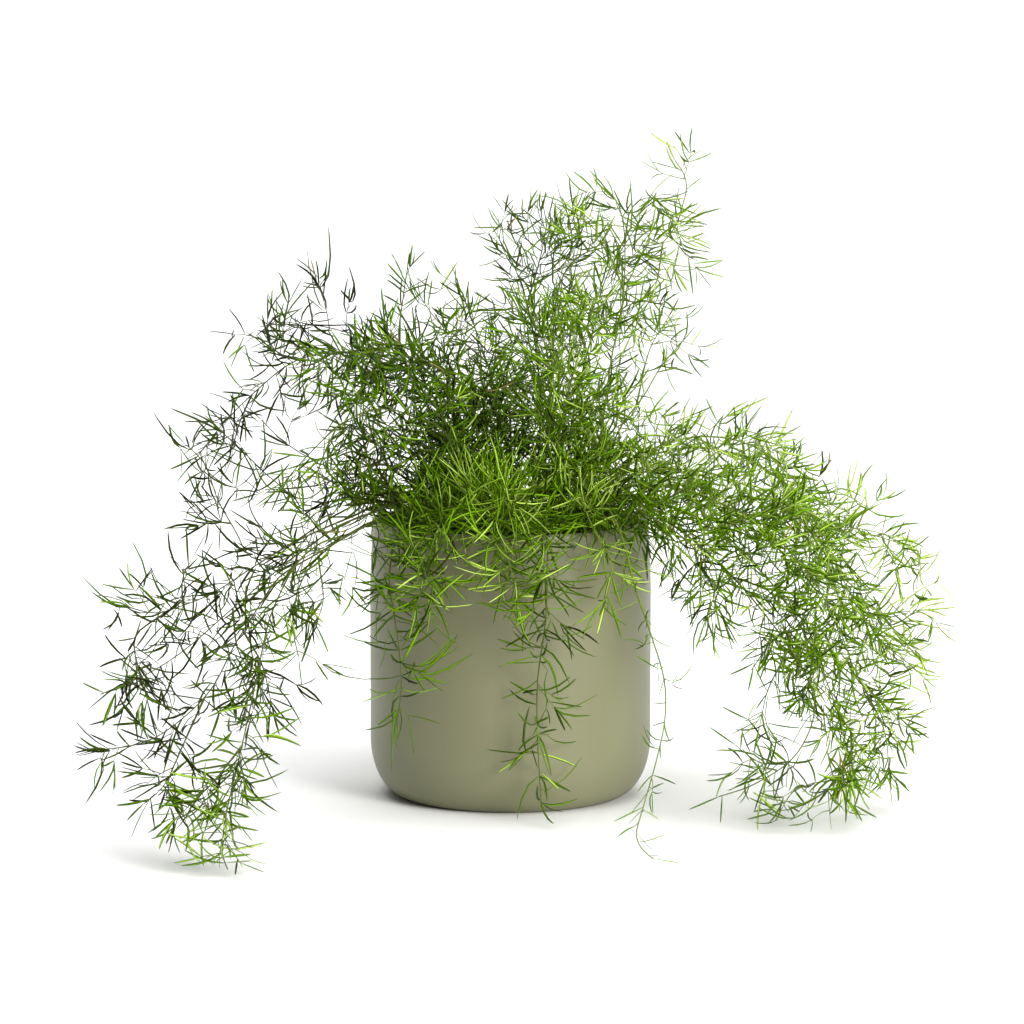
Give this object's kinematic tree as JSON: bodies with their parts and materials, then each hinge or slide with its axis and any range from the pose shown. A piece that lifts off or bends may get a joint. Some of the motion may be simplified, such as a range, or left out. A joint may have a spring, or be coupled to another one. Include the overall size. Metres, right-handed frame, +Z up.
{
  "type": "asparagus fern in a pot",
  "caption": "Asparagus fern with loose arching and trailing needle-leaved stems, growing in a plain round matte pot.",
  "frame": {"origin": "centre of the pot's flat base, on the surface that the pot stands on", "axes": "+Z up along the pot's axis; the front of the plant faces -Y, and +X is on the right seen from the front"},
  "size_m": [0.4511, 0.4054, 0.3565],
  "materials": {
    "pot_glaze": "smooth matte sage green glaze",
    "soil": "dark, rough, dry potting soil",
    "foliage": "green stems and needles with a slight waxy sheen"
  },
  "bodies": {
    "root": {"pot": "pot_glaze", "soil": "soil", "stem_crest_top": "foliage", "stem_crest_middle": "foliage", "stem_crest_left": "foliage", "stem_crest_front": "foliage", "stem_crest_side": "foliage", "stem_sprig_tall": "foliage", "stem_sprig_middle": "foliage", "stem_shoulder_high": "foliage", "stem_shoulder_low": "foliage", "stem_shoulder_back": "foliage", "stem_far_high": "foliage", "stem_far_left": "foliage", "stem_loop_low": "foliage", "stem_loop_high": "foliage", "stem_trail_upper": "foliage", "stem_trail_outer": "foliage", "stem_trail_middle": "foliage", "stem_trail_lower": "foliage", "stem_trail_inner": "foliage", "stem_front_left": "foliage", "stem_lip_left": "foliage", "stem_front_star": "foliage", "stem_lip_middle": "foliage", "stem_front_centre": "foliage", "stem_front_right": "foliage", "stem_lip_right": "foliage", "stem_arch_top": "foliage", "stem_arch_outer": "foliage", "stem_arch_middle": "foliage", "stem_arch_inner": "foliage", "stem_arch_fall": "foliage", "stem_arch_under": "foliage", "stem_arch_back": "foliage", "stem_back_crest": "foliage", "stem_back_middle": "foliage", "stem_back_arch_left": "foliage", "stem_back_arch_right": "foliage", "stem_back_hang_left": "foliage", "stem_back_hang_right": "foliage"}
  },
  "joints": []
}
